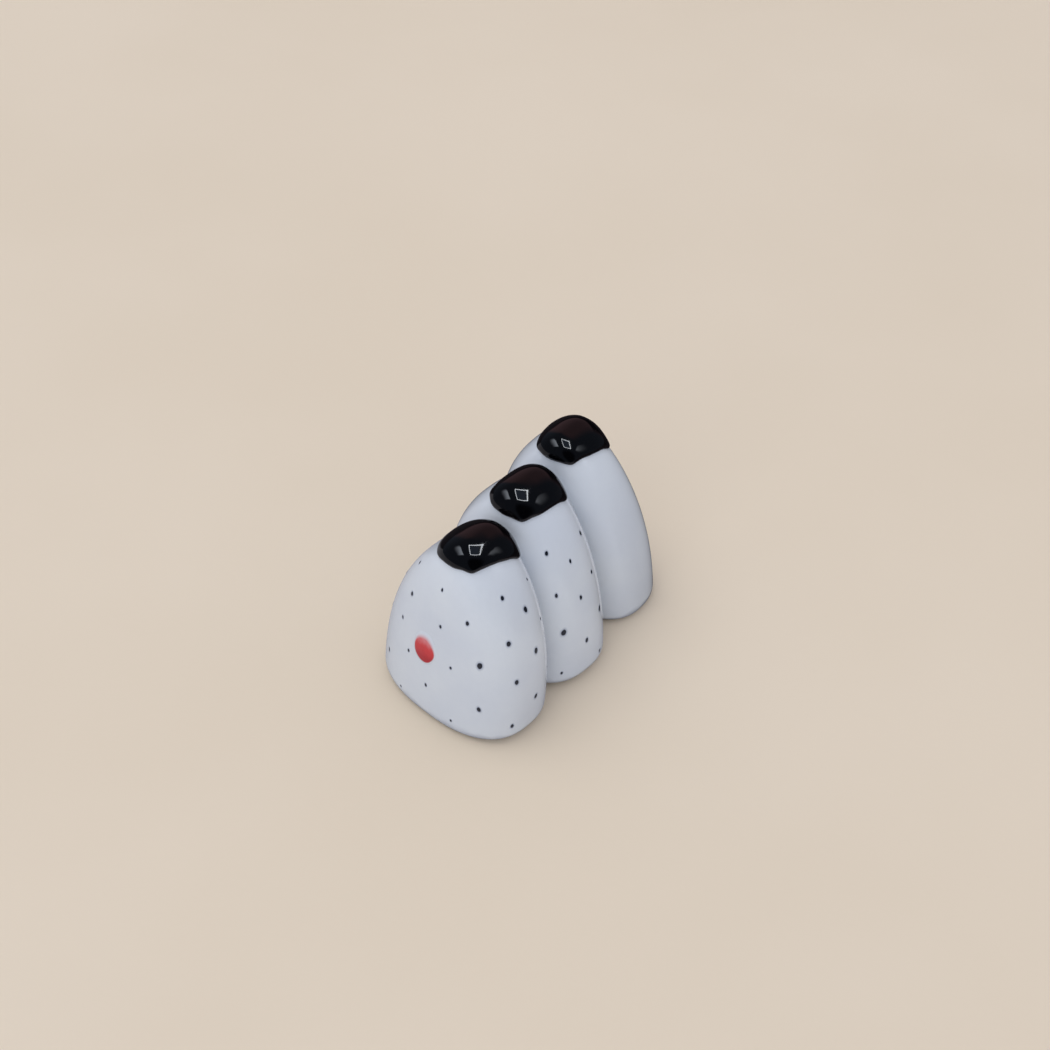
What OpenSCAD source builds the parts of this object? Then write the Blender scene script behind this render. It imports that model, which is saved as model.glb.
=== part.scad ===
// A chopstick rest in glazed porcelain: three rice balls in a row, face to face, each with a
// raised sheet of nori on its apex. The balls are moulded one by one and luted together.
// Lengths are millimetres and angles degrees. +Z is up, and +Y runs along the row from the
// front ball to the back ball, so the front ball's broad face looks along -Y.
// The origin lies on the table, under the middle of the whole row's box.

/* [Balls] */
// Width across a ball's broad face
ball_w = 23.1; // [21:0.1:25]
// Thickness of a ball along the row
ball_t = 15.5; // [14.5:0.1:17]
// Height of a bare apex above the table
ball_h = 26.8; // [25:0.1:29]

/* [Front ball] */
// How much wider it is than the middle ball
front_extra_w = 0.2; // [-1:0.1:1]
// How much thicker it is
front_extra_t = -0.7; // [-1:0.1:0.5]
// How much taller it is
front_extra_h = -0.2; // [-1:0.1:1]
// Turn about the vertical, clockwise seen from above
front_turn = 5.8; // [3:0.1:9]
// Sideways lean of its apex
front_lean_x = 1.6; // [-1:0.1:2.5]
// Lean of its apex towards the middle ball
front_lean_y = 1.4; // [0.5:0.1:2]
// How far its lower edge draws in at the sides
front_edge_in_w = 1.2; // [0.6:0.1:1.6]
// How far its lower edge draws in at the faces
front_edge_in_t = 0.5; // [0.3:0.1:1.3]

/* [Middle ball] */
// Turn about the vertical, clockwise seen from above
middle_turn = 6.5; // [3:0.1:9]
// Sideways lean of its apex
middle_lean_x = -0.3; // [-1.5:0.1:1.5]
// Lean of its apex towards the back ball
middle_lean_y = 0.2; // [-0.5:0.1:0.7]
// How far its lower edge draws in at the sides
middle_edge_in_w = 1.4; // [0.8:0.1:2]
// How far its lower edge draws in at the faces
middle_edge_in_t = 1.2; // [0.6:0.1:1.4]

/* [Back ball] */
// How much wider it is than the middle ball
back_extra_w = -0.4; // [-1:0.1:1]
// How much thicker it is
back_extra_t = -1.2; // [-1.6:0.1:0.5]
// Turn about the vertical, clockwise seen from above
back_turn = 0.2; // [-2:0.1:5]
// Sideways lean of its apex
back_lean_x = -0.7; // [-1.5:0.1:1.5]
// Lean of its apex towards the middle ball
back_lean_y = 1.8; // [1:0.1:2.5]
// How far its lower edge draws in at the sides
back_edge_in_w = 0.4; // [0.3:0.1:1.4]
// How far its lower edge draws in at the faces
back_edge_in_t = 0.7; // [0.4:0.1:1.4]

/* [Row] */
// How deep the front and middle balls' full shapes would run into each other
front_press = 2.95; // [2.4:0.05:3.3]
// How deep the middle and back balls' full shapes would run into each other
back_press = 1.9; // [1.4:0.05:2.3]
// Sideways shift of the front ball from the middle one
front_shift_x = -0.5; // [-1:0.1:1]
// Sideways shift of the back ball from the middle one
back_shift_x = -0.8; // [-1:0.1:1]

/* [Ball shape] */
// Height at which the rounded lower edge meets the flank
edge_h = 1.8; // [1.2:0.1:2.6]
// Bow of the two sides: 2 is an ellipse's, more keeps them upright for longer
side_bow_power = 2.3; // [2:0.01:2.6]
// Bluntness of the apex seen from the face: 2 is an ellipse's, less is more pointed
side_blunt_power = 1.55; // [1.4:0.01:1.7]
// Bow of the two faces, counted in the same way
face_bow_power = 1.6; // [1.5:0.01:1.8]
// Bluntness of the apex seen from the side, counted in the same way
face_blunt_power = 3.9; // [3.6:0.01:4.2]
// Squareness of a level section: 2 is an ellipse, more fills its corners
plan_square_power = 2.5; // [2.3:0.01:2.8]

/* [Foot] */
// Height of the unglazed foot under each ball
foot_h = 0.35; // [0.2:0.05:0.6]
// How far the foot stands in from the ball's lower edge
foot_inset = 0.6; // [0.3:0.05:1]

/* [Nori caps] */
// Thickness of a cap over the apex
cap_crown_t = 0.8; // [0.65:0.05:1.1]
// Thickness of a cap just inside its rounded rim
cap_rim_t = 0.3; // [0.25:0.05:0.6]
// How full the cap stays from its crown towards its rim: more keeps it thick for longer
cap_shoulder_power = 2.5; // [1.5:0.1:3.5]
// Width of the rim's round-over, measured down the ball
cap_rim_round = 0.3; // [0.2:0.05:0.6]
// How far a cap hangs down the two faces, below the apex
cap_drop_face = 2.55; // [2.3:0.05:2.9]
// How far a cap hangs down the two sides, below the apex
cap_drop_side = 2.15; // [1.7:0.05:2.6]
// How much lower the sheet's four corners hang
cap_drop_corner = 0.25; // [0:0.05:0.4]
// Share of that, and of what the back corners add to it, by which the two left corners hang
cap_left_corner_share = 0.35; // [0:0.05:1]

/* [Lie of each cap] */
// How much lower the front ball's cap hangs all round
front_cap_low = 0.1; // [-0.2:0.05:0.3]
// How much further it hangs down the back face than down the front one, halved
front_cap_back = 1; // [0.6:0.05:1.15]
// How much further it hangs down the right side than down the left one, halved
front_cap_right = -0.4; // [-0.6:0.05:0.6]
// How much lower still its two back corners hang
front_cap_tails = 0.15; // [0:0.05:0.6]
// How much lower the middle ball's cap hangs all round
middle_cap_low = -0.3; // [-0.4:0.05:0.2]
// How much further it hangs down the back face than down the front one, halved
middle_cap_back = 0.45; // [0.2:0.05:0.7]
// How much further it hangs down the right side than down the left one, halved
middle_cap_right = 0.4; // [-0.6:0.05:0.6]
// How much lower still its two back corners hang
middle_cap_tails = 0.3; // [0:0.05:0.8]
// How much lower the back ball's cap hangs all round
back_cap_low = -0.15; // [-0.35:0.05:0.3]
// How much further it hangs down the back face than down the front one, halved
back_cap_back = 0.7; // [0.2:0.05:1]
// How much further it hangs down the right side than down the left one, halved
back_cap_right = 0; // [-0.6:0.05:0.6]
// How much lower still its two back corners hang
back_cap_tails = 0.3; // [0:0.05:0.6]

/* [Sesame specks] */
// Width of the largest speck
speck_w = 0.65; // [0.45:0.05:0.85]
// Its length, up and down the ball
speck_l = 0.9; // [0.6:0.05:1.1]
// Thickness of a speck
speck_t = 0.08; // [0.05:0.01:0.15]

/* [Plum spot] */
// Width of the spot
plum_w = 3.7; // [3:0.1:4.2]
// Its height, up the face
plum_l = 4.7; // [3.6:0.1:5.2]
// Thickness of the spot at its middle
plum_t = 0.16; // [0.1:0.01:0.25]
// Height of its centre above the table
plum_h = 11.8; // [9:0.1:14]
// How far its centre lies to the right of the ball's centre line
plum_x = -0.9; // [-3:0.1:3]

/* [Slip seams] */
// Thickness of the slip between two balls' luting faces
slip_t = 0.3; // [0.2:0.05:0.4]
// How far the wiped slip climbs onto each ball beside the crease, along the row
slip_climb = 0.25; // [0.15:0.05:0.4]

/* [Fit] */
// Gap under what is laid on the glaze
seat_gap = 0.05; // [0.03:0.01:0.08]

/* [Hidden] */

// Where each speck sits: how far round the ball from its right side, as a share of a turn, how
// high, as a share of the ball's height, and how large, as a share of the largest speck
front_speck_shares = [
    [0.67, 0.67, 0.7], [0.75, 0.82, 0.5], [0.67, 0.5, 0.55], [0.76, 0.63, 0.55],
    [0.83, 0.72, 0.65], [0.64, 0.2, 0.7], [0.71, 0.35, 0.55], [0.97, 0.82, 0.65],
    [0.09, 0.8, 0.4], [0.02, 0.72, 0.85], [0.08, 0.6, 0.45], [0.95, 0.62, 0.8],
    [0.02, 0.5, 0.9], [0.86, 0.51, 1], [0.79, 0.43, 0.5], [0.75, 0.22, 0.55],
    [0.7, 0.07, 0.4], [0.96, 0.4, 0.8], [0.01, 0.23, 0.8], [0.86, 0.24, 0.8],
    [0.8, 0.09, 0.45], [0.95, 0.12, 0.7], [0.08, 0.3, 0.45], [0.6, 0.8, 0.55],
    [0.55, 0.62, 0.8], [0.47, 0.74, 0.6], [0.44, 0.52, 0.7], [0.57, 0.4, 0.6],
    [0.49, 0.3, 0.9], [0.43, 0.16, 0.6], [0.54, 0.12, 0.7]
];
middle_speck_shares = [
    [0.94, 0.78, 0.65], [0, 0.7, 0.55], [0.085, 0.75, 0.7], [0.06, 0.57, 0.6],
    [0.935, 0.58, 0.6], [0, 0.51, 0.65], [0.06, 0.35, 0.9], [0.94, 0.37, 1],
    [0, 0.25, 0.8], [0.045, 0.09, 0.65], [0.93, 0.11, 0.5], [0.45, 0.76, 0.6],
    [0.54, 0.66, 0.8], [0.43, 0.57, 0.55], [0.5, 0.47, 0.9], [0.57, 0.36, 0.6],
    [0.44, 0.31, 0.75], [0.51, 0.18, 0.6], [0.56, 0.09, 0.8]
];

// Points round a level ring, rings up the rounded edge and up the flank, rings over a cap,
// points round a crease, sides of a speck, and points round the plum spot
ring_points = 48;
edge_rings = 4;
flank_rings = 20;
cap_rings = 7;
crease_points = 96;
speck_sides = 24;
spot_points = 28;
// Rings crowd towards the apex by these powers, on a ball and on a cap
flank_crowding_power = 2.4;
cap_crowding_power = 2.6;
// How sharply a cap's corners stand out
corner_sharpness_power = 8;
// Steps of the rim's round-over, as shares of its width
rim_step_shares = [0.5, 0.8, 0.95];
// A speck's top is this share of its foot
speck_top_share = 0.8;
// The wiped slip is hollowed by this share of its depth in the crease
slip_hollow_share = 0.5;
// Rings of the plum spot, as shares of its radius, under it and over it
spot_under_shares = [0.35, 0.7, 1];
spot_over_shares = [0.9, 0.7, 0.35];
// Halvings with which a crease is searched for
halving_count = 16;
// Steps along the surface from which its normal is found
normal_turn = 1;
normal_rise_share = 0.02;

// A ball is a list: its width, thickness, height, turn, lean, the place of its foot and how far
// its lower edge draws in at the sides and the faces
function full_w(ball) = ball[0];
function full_t(ball) = ball[1];
function full_h(ball) = ball[2];
function turn_of(ball) = ball[3];
function lean_of(ball) = ball[4];
function place_of(ball) = ball[5];
function edge_in_of(ball) = ball[6];

front_t = ball_t + front_extra_t;
back_t = ball_t + back_extra_t;
front_pitch = (front_t + ball_t) / 2 - front_press;
back_pitch = (ball_t + back_t) / 2 - back_press;

function signed_power(x, power) = sign(x) * pow(abs(x), power);
function unit(v) = v / norm(v);
function sum(list) = list * [for (i = list) 1];
function mean_point(points) = [for (i = [0 : 2]) sum([for (p = points) p[i]]) / len(points)];

// The lower edge draws in along a quarter circle, and the flank above it closes to the apex
function edge_draw_share(z) = 1 - sqrt(max(0, 1 - pow((edge_h - z) / (edge_h - foot_h), 2)));
function flank_share(ball, z) = (z - edge_h) / (full_h(ball) - edge_h);
function half_size(full, edge_in, bow, blunt, ball, z) =
    z < edge_h
        ? full / 2 - edge_in * edge_draw_share(z)
        : full / 2 * pow(1 - pow(flank_share(ball, z), bow), 1 / blunt);
function half_w(ball, z) =
    half_size(full_w(ball), edge_in_of(ball)[0], side_bow_power, side_blunt_power, ball, z);
function half_t(ball, z) =
    half_size(full_t(ball), edge_in_of(ball)[1], face_bow_power, face_blunt_power, ball, z);

// A ball's own level axes: across its face, and along its thickness
function across(ball) = [cos(turn_of(ball)), -sin(turn_of(ball)), 0];
function along(ball) = [sin(turn_of(ball)), cos(turn_of(ball)), 0];

function centre_at(ball, z) =
    place_of(ball) + [0, 0, z]
    + across(ball) * lean_of(ball).x * z / full_h(ball)
    + along(ball) * lean_of(ball).y * z / full_h(ball);

// Point of a ball's full surface, at an angle round the ball and a height
function surface_point(ball, angle, z) =
    centre_at(ball, z)
    + across(ball) * half_w(ball, z) * signed_power(cos(angle), 2 / plan_square_power)
    + along(ball) * half_t(ball, z) * signed_power(sin(angle), 2 / plan_square_power);

// Outward normal there
function surface_normal(ball, angle, z) =
    let (
        rise = (full_h(ball) - z) * normal_rise_share,
        round_step = surface_point(ball, angle + normal_turn, z)
            - surface_point(ball, angle - normal_turn, z),
        up_step = surface_point(ball, angle, z + rise) - surface_point(ball, angle, z - rise)
    )
    unit(cross(round_step, up_step));

function ring_angle(i) = 360 * i / ring_points;
function edge_height(k) = edge_h - (edge_h - foot_h) * cos(90 * k / edge_rings);
function flank_height(ball, k) =
    edge_h + (full_h(ball) - edge_h) * (1 - pow(1 - k / flank_rings, flank_crowding_power));
function ball_rings(ball) = [
    for (z = concat(
        [for (k = [0 : edge_rings - 1]) edge_height(k)],
        [for (k = [0 : flank_rings - 1]) flank_height(ball, k)]))
        [for (i = [0 : ring_points - 1]) surface_point(ball, ring_angle(i), z)]
];

// The row as it is set out from the middle ball, and the middle of its box
front_set_out = [
    ball_w + front_extra_w, front_t, ball_h + front_extra_h,
    front_turn, [front_lean_x, front_lean_y], [front_shift_x, -front_pitch, 0],
    [front_edge_in_w, front_edge_in_t]
];
middle_set_out = [
    ball_w, ball_t, ball_h,
    middle_turn, [middle_lean_x, middle_lean_y], [0, 0, 0],
    [middle_edge_in_w, middle_edge_in_t]
];
back_set_out = [
    ball_w + back_extra_w, back_t, ball_h,
    back_turn, [back_lean_x, -back_lean_y], [back_shift_x, back_pitch, 0],
    [back_edge_in_w, back_edge_in_t]
];
row_points = [
    for (ball = [front_set_out, middle_set_out, back_set_out], ring = ball_rings(ball)) each ring
];
function middle_of(values) = (max(values) + min(values)) / 2;
box_middle = [
    middle_of([for (p = row_points) p.x]),
    middle_of([for (p = row_points) p.y]),
    0
];

// The three balls where they stand, with the row's box centred on the origin
function centred(ball) = [
    full_w(ball), full_t(ball), full_h(ball),
    turn_of(ball), lean_of(ball), place_of(ball) - box_middle, edge_in_of(ball)
];
front = centred(front_set_out);
middle = centred(middle_set_out);
back = centred(back_set_out);

// A seam is a plane midway between two balls that leans halfway between them: a point on it,
// its level normal towards the second ball, and its slope
function seam_between(first, second) =
    let (normal = unit(along(first) + along(second)))
    [
        (place_of(first) + place_of(second)) / 2 + normal * (full_t(first) - full_t(second)) / 4,
        normal,
        (lean_of(first).y / full_h(first) + lean_of(second).y / full_h(second)) / 2
    ];
front_seam = seam_between(front, middle);
rear_seam = seam_between(middle, back);

// How far a point reaches past the plane that lies before the seam by some offset, seen from
// one of the two balls: its side is 1 for the first ball and -1 for the second
function past(seam, side, offset, p) =
    side * ((p - seam[0]) * seam[1] - seam[2] * p.z) + offset;

// Rings pressed flat where they reach past the plane
function pressed(rings, seam, side, offset) = [
    for (ring = rings) [
        for (p = ring) p - side * max(0, past(seam, side, offset, p)) * seam[1]
    ]
];

// Angle round a ball at which its surface comes nearest to the seam's direction, at a height
function facing_angle(ball, seam, side, z) =
    let (power = plan_square_power / (plan_square_power - 1) / 2)
    atan2(
        signed_power(side * half_t(ball, z) * (seam[1] * along(ball)), power),
        signed_power(side * half_w(ball, z) * (seam[1] * across(ball)), power));

// Angle between an inner and an outer one at which the surface crosses the plane
function crossing(ball, seam, side, offset, z, inner, outer, steps) =
    let (halfway = (inner + outer) / 2)
    steps <= 0
        ? halfway
        : past(seam, side, offset, surface_point(ball, halfway, z)) > 0
            ? crossing(ball, seam, side, offset, z, halfway, outer, steps - 1)
            : crossing(ball, seam, side, offset, z, inner, halfway, steps - 1);

// Height between one where the surface reaches past the plane and one where it may not, up or
// down to which it does
function crease_end(ball, seam, side, offset, inside, outside, steps) =
    let (
        halfway = (inside + outside) / 2,
        nearest = surface_point(ball, facing_angle(ball, seam, side, halfway), halfway)
    )
    steps <= 0
        ? inside
        : past(seam, side, offset, nearest) > 0
            ? crease_end(ball, seam, side, offset, halfway, outside, steps - 1)
            : crease_end(ball, seam, side, offset, inside, halfway, steps - 1);

// The line in which a ball's surface crosses the plane, up its left side and down its right,
// lifted off the surface by some gap
function crease(ball, seam, side, offset, lift) =
    let (
        bottom = crease_end(ball, seam, side, offset, edge_h, foot_h, halving_count),
        top = crease_end(ball, seam, side, offset, edge_h, full_h(ball), halving_count)
    )
    [
        for (k = [0 : crease_points - 1])
            let (
                phase = 360 * (k + 1 / 2) / crease_points,
                z = bottom + (top - bottom) * (1 - cos(phase)) / 2,
                inner = facing_angle(ball, seam, side, z),
                outer = phase < 180 ? 180 * side : 0,
                angle = crossing(ball, seam, side, offset, z, inner, outer, halving_count)
            )
            surface_point(ball, angle, z) + surface_normal(ball, angle, z) * lift
    ];

// Closed solid over a stack of rings, with a point at each end
module skin(rings, first_tip, last_tip) {
    n = len(rings[0]);
    last_ring = 1 + n * (len(rings) - 1);
    last = 1 + n * len(rings);
    points = concat([first_tip], [for (ring = rings) each ring], [last_tip]);
    faces = concat(
        [for (i = [0 : n - 1]) [0, 1 + i, 1 + (i + 1) % n]],
        [
            for (k = [0 : len(rings) - 2], i = [0 : n - 1])
                let (a = 1 + k * n + i, b = 1 + k * n + (i + 1) % n)
                each [[a, a + n, b], [b, a + n, b + n]]
        ],
        [for (i = [0 : n - 1]) [last, last_ring + (i + 1) % n, last_ring + i]]);
    polyhedron(points, faces);
}

// One ball, pressed flat where it meets its neighbours
module rice_ball(ball, rings) {
    color("white")
        skin(rings, mean_point(rings[0]), centre_at(ball, full_h(ball)));
}

module front_rice_ball() {
    rice_ball(front, pressed(ball_rings(front), front_seam, 1, slip_t / 2));
}

module middle_rice_ball() {
    front_pressed = pressed(ball_rings(middle), front_seam, -1, slip_t / 2);
    rice_ball(middle, pressed(front_pressed, rear_seam, 1, slip_t / 2));
}

module back_rice_ball() {
    rice_ball(back, pressed(ball_rings(back), rear_seam, -1, slip_t / 2));
}

// The unglazed foot: the ball's lower edge, drawn in and carried down to the table
function foot_ring(ball, z) = [
    for (i = [0 : ring_points - 1])
        place_of(ball) + [0, 0, z]
        + across(ball) * (half_w(ball, foot_h) - foot_inset)
            * signed_power(cos(ring_angle(i)), 2 / plan_square_power)
        + along(ball) * (half_t(ball, foot_h) - foot_inset)
            * signed_power(sin(ring_angle(i)), 2 / plan_square_power)
];
function foot_rings(ball) = [foot_ring(ball, 0), foot_ring(ball, foot_h)];

module foot(rings) {
    color("linen")
        skin(rings, mean_point(rings[0]), mean_point(rings[1]));
}

module front_foot() {
    foot(pressed(foot_rings(front), front_seam, 1, foot_inset));
}

module middle_foot() {
    front_pressed = pressed(foot_rings(middle), front_seam, -1, foot_inset);
    foot(pressed(front_pressed, rear_seam, 1, foot_inset));
}

module back_foot() {
    foot(pressed(foot_rings(back), rear_seam, -1, foot_inset));
}

// A cap's lie is how much lower it hangs all round, towards the back, to the right and at its
// two back corners
front_lie = [front_cap_low, front_cap_back, front_cap_right, front_cap_tails];
middle_lie = [middle_cap_low, middle_cap_back, middle_cap_right, middle_cap_tails];
back_lie = [back_cap_low, back_cap_back, back_cap_right, back_cap_tails];

// The nori: a square sheet draped over the apex, lowest at its corners
function cap_drop(lie, angle) =
    let (
        corner_share = pow(abs(sin(2 * angle)), corner_sharpness_power),
        left_share = cos(angle) < 0 ? cap_left_corner_share : 1,
        corner_drop = (cap_drop_corner + (sin(angle) > 0 ? lie[3] : 0)) * left_share
    )
    cap_drop_side * pow(cos(angle), 2)
    + cap_drop_face * pow(sin(angle), 2)
    + corner_drop * corner_share
    + lie[0] + lie[1] * sin(angle) + lie[2] * cos(angle);

// Share of the drop at which the rim starts to round over
function rim_share(lie, angle) = 1 - cap_rim_round / (cap_drop(lie, angle) + cap_rim_round);

// Point of a cap at a share of its drop, over the ball by the seat gap and its own thickness
function cap_point(ball, lie, angle, share, thickness) =
    let (z = full_h(ball) - cap_drop(lie, angle) * share)
    surface_point(ball, angle, z) + surface_normal(ball, angle, z) * (seat_gap + thickness);

function cap_thickness(share) =
    cap_rim_t + (cap_crown_t - cap_rim_t) * (1 - pow(share, cap_shoulder_power));
function crowded_share(k) = pow(k / cap_rings, cap_crowding_power);

function cap_under_ring(ball, lie, k) = [
    for (i = [0 : ring_points - 1]) cap_point(ball, lie, ring_angle(i), crowded_share(k), 0)
];

function cap_rim_ring(ball, lie, step_share) = [
    for (i = [0 : ring_points - 1])
        let (
            start = rim_share(lie, ring_angle(i)),
            share = start + (1 - start) * step_share,
            thickness = cap_thickness(share) * sqrt(1 - pow(step_share, 2))
        )
        cap_point(ball, lie, ring_angle(i), share, thickness)
];

function cap_over_ring(ball, lie, k) = [
    for (i = [0 : ring_points - 1])
        let (share = crowded_share(k) * rim_share(lie, ring_angle(i)))
        cap_point(ball, lie, ring_angle(i), share, cap_thickness(share))
];

module nori_cap(ball, lie) {
    apex = centre_at(ball, full_h(ball)) + [0, 0, seat_gap];
    rings = concat(
        [for (k = [1 : cap_rings]) cap_under_ring(ball, lie, k)],
        [for (i = [len(rim_step_shares) - 1 : -1 : 0]) cap_rim_ring(ball, lie, rim_step_shares[i])],
        [for (k = [cap_rings : -1 : 1]) cap_over_ring(ball, lie, k)]);
    color([0.06, 0.05, 0.06])
        skin(rings, apex, apex + [0, 0, cap_crown_t]);
}

module front_nori_cap() {
    nori_cap(front, front_lie);
}

module middle_nori_cap() {
    nori_cap(middle, middle_lie);
}

module back_nori_cap() {
    nori_cap(back, back_lie);
}

// Small oval dots of black, each lying flat on the glaze and longer up the ball than across it
module sesame_specks(ball, speck_shares) {
    color([0.12, 0.12, 0.15])
        for (speck = speck_shares) {
            angle = 360 * speck[0];
            z = full_h(ball) * speck[1];
            normal = surface_normal(ball, angle, z);
            translate(surface_point(ball, angle, z) + normal * seat_gap)
                rotate([0, acos(normal.z), atan2(normal.y, normal.x)])
                    scale([speck_l * speck[2], speck_w * speck[2], 1])
                        cylinder(h = speck_t, d1 = 1, d2 = speck_top_share, $fn = speck_sides);
        }
}

module front_sesame_specks() {
    sesame_specks(front, front_speck_shares);
}

module middle_sesame_specks() {
    sesame_specks(middle, middle_speck_shares);
}

// Angle round a ball of the point on its front face that lies so far to the right
function face_angle(ball, right, z) =
    -acos(signed_power(right / half_w(ball, z), plan_square_power / 2));

function spot_ring(share, thickness) = [
    for (i = [0 : spot_points - 1])
        let (
            turn = 360 * i / spot_points,
            z = plum_h + plum_l / 2 * share * sin(turn),
            angle = face_angle(front, plum_x + plum_w / 2 * share * cos(turn), z)
        )
        surface_point(front, angle, z) + surface_normal(front, angle, z) * (seat_gap + thickness)
];

// The pickled plum: a shallow oval lens of red that follows the front ball's face
module plum_spot() {
    rings = concat(
        [for (share = spot_under_shares) spot_ring(share, 0)],
        [for (share = spot_over_shares) spot_ring(share, plum_t * sqrt(1 - pow(share, 2)))]);
    color([0.82, 0.25, 0.25])
        skin(rings, mean_point(spot_ring(0, 0)), mean_point(spot_ring(0, plum_t)));
}

// The slip that lutes two balls: a thin plate between their flat faces, whose edge is wiped to
// a hollow fillet in the crease
module slip_seam(first, second, seam) {
    first_edge = crease(first, seam, 1, slip_t / 2, seat_gap);
    second_edge = crease(second, seam, -1, slip_t / 2, seat_gap);
    first_climb = crease(first, seam, 1, slip_t / 2 + slip_climb, seat_gap);
    second_climb = crease(second, seam, -1, slip_t / 2 + slip_climb, seat_gap);
    hollow = [
        for (k = [0 : crease_points - 1])
            let (
                inner = (first_edge[k] + second_edge[k]) / 2,
                outer = (first_climb[k] + second_climb[k]) / 2
            )
            outer + (inner - outer) * slip_hollow_share
    ];
    color("whitesmoke")
        skin(
            [first_edge, first_climb, hollow, second_climb, second_edge],
            mean_point(first_edge), mean_point(second_edge));
}

module front_slip_seam() {
    slip_seam(front, middle, front_seam);
}

module rear_slip_seam() {
    slip_seam(middle, back, rear_seam);
}

front_rice_ball();
middle_rice_ball();
back_rice_ball();
front_nori_cap();
middle_nori_cap();
back_nori_cap();
front_sesame_specks();
middle_sesame_specks();
plum_spot();
front_slip_seam();
rear_slip_seam();
front_foot();
middle_foot();
back_foot();
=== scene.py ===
# Looks for a porcelain chopstick rest: three glazed rice balls in a row, each with a raised black
# sheet of nori, two of them dotted with sesame, and a pickled plum on the first.
# The row is shaped here in millimetres and made in metres. +Y runs along the row from the front
# ball to the back one, and the front ball's broad face looks along -Y.

import math
import random

import bmesh
import bpy
import numpy as np
from mathutils import Matrix, Vector


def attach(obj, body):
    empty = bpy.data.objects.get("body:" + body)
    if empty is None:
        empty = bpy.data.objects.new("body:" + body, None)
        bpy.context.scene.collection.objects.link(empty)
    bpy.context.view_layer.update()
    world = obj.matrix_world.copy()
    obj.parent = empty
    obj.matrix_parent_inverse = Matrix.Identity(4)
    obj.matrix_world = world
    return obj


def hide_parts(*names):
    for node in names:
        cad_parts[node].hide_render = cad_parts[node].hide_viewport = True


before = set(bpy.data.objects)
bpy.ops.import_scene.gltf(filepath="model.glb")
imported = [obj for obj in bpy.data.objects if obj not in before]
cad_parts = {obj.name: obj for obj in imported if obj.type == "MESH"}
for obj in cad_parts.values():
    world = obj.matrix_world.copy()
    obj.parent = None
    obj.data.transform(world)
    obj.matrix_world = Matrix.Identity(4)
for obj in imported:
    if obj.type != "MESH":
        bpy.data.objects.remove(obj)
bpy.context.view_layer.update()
scene = bpy.context.scene
scene.view_settings.view_transform = "Standard"
millimetre = 0.001
print("frame loaded:", len(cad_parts), "nodes")


# Camera

shot = {
    "place": (0.09801, -0.126739, 0.17516),
    "target": (-0.011934, 0.016043, 0.0),
    "lens": 60.31,  # mm, on a 36 mm sensor
    "sensor": 36.0,
}

cameraData = bpy.data.cameras.new("shot")
cameraData.lens = shot["lens"]
cameraData.sensor_width = shot["sensor"]
cameraData.sensor_fit = "HORIZONTAL"
cameraData.clip_start = 0.01
camera = bpy.data.objects.new("shot", cameraData)
camera.location = shot["place"]
lookWay = Vector(shot["target"]) - Vector(shot["place"])
camera.rotation_euler = lookWay.to_track_quat("-Z", "Y").to_euler()
scene.collection.objects.link(camera)
scene.camera = camera
print("camera set")


# The form that all three balls share, in millimetres

ballForm = {
    "edgeHeight": 1.8,  # where the rounded lower edge meets the flank
    "sideBow": 2.3,
    "sideBlunt": 1.55,
    "faceBow": 1.6,
    "faceBlunt": 3.9,
    "planSquare": 2.5,  # squareness of a level section
    "footHeight": 0.35,
    "unevenShare": 0.0035,  # hand-pressed unevenness, as a share of the half size
    "unevenRise": 9.0,  # height over which it changes
    "unevenWaves": ((2, 1.0), (3, 0.7), (4, 0.5), (6, 0.3)),  # waves round the ball, and strength
    "roundPoints": 240,
    "edgeRings": 14,
    "flankRings": 120,
    "crowding": 1.9,  # rings crowd to the apex by this power
    "turnStep": 0.5,  # degrees, and the share of the height above: steps that give the slope
    "riseStepShare": 0.01,
    "sharpAngle": 40,
}
balls = {  # edgeIn is how far the lower edge draws in at the sides and at the faces
    "front": {
        "wide": 23.3, "thick": 14.8, "tall": 26.6, "turn": 5.8,
        "lean": (1.6, 1.4), "place": (-0.16428, -12.37626, 0.0),
        "edgeIn": (1.2, 0.5), "seed": 3,
    },
    "middle": {
        "wide": 23.1, "thick": 15.5, "tall": 26.8, "turn": 6.5,
        "lean": (-0.3, 0.2), "place": (0.33572, -0.17626, 0.0),
        "edgeIn": (1.4, 1.2), "seed": 8,
    },
    "back": {
        "wide": 22.7, "thick": 14.3, "tall": 26.8, "turn": 0.2,
        "lean": (-0.7, -1.8), "place": (-0.46428, 12.82374, 0.0),
        "edgeIn": (0.4, 0.7), "seed": 14,
    },
}


def signedPower(value, power):
    return np.sign(value) * np.abs(value) ** power


def levelAxes(ball):
    turn = math.radians(ball["turn"])
    across = np.array([math.cos(turn), -math.sin(turn), 0.0])
    along = np.array([math.sin(turn), math.cos(turn), 0.0])
    return across, along


def unevenness(ball, angle, z):
    draw = random.Random(ball["seed"])
    total = 0.0
    for waves, strength in ballForm["unevenWaves"]:
        phase = draw.uniform(0, math.tau)
        slope = draw.choice((-1, 1)) / ballForm["unevenRise"]
        total = total + strength * np.sin(waves * angle + phase + waves * slope * z / 2)
    swing = sum(strength for waves, strength in ballForm["unevenWaves"])
    return 1 + ballForm["unevenShare"] * (total / swing - 1)


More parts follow.
